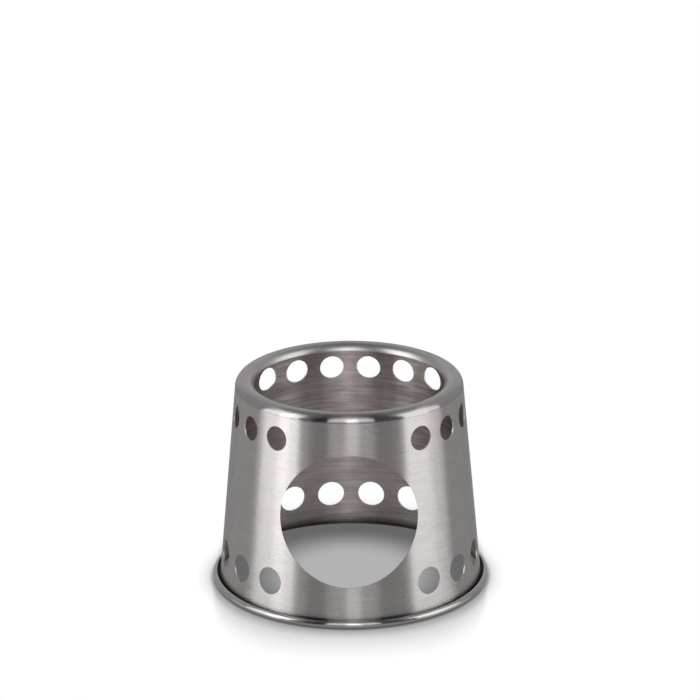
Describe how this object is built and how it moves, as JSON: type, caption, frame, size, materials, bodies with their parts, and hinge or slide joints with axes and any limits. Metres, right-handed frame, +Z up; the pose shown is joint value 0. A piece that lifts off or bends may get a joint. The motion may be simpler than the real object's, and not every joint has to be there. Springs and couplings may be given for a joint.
{
  "type": "stove cup",
  "caption": "Tapered sheet steel stove cup: an open-ended windshield and pot stand with a round front opening, rows of round vents, a rolled top ring and a curled base.",
  "frame": {"origin": "on the axis, at the height of the floor that the base curl stands on", "axes": "+Z up along the axis, towards the pot rest; -Y towards the round front opening; +X to the right seen from the front"},
  "size_m": [0.12, 0.12, 0.0925],
  "materials": {
    "brushed_wall": "stainless steel brushed round the axis",
    "polished_ring": "stainless steel polished smooth on the rolled shoulder and lip",
    "polished_curl": "stainless steel polished smooth on the curled bead"
  },
  "bodies": {
    "root": {"tapered_wall": "brushed_wall", "top_ring": "polished_ring", "base_curl": "polished_curl"}
  },
  "joints": []
}
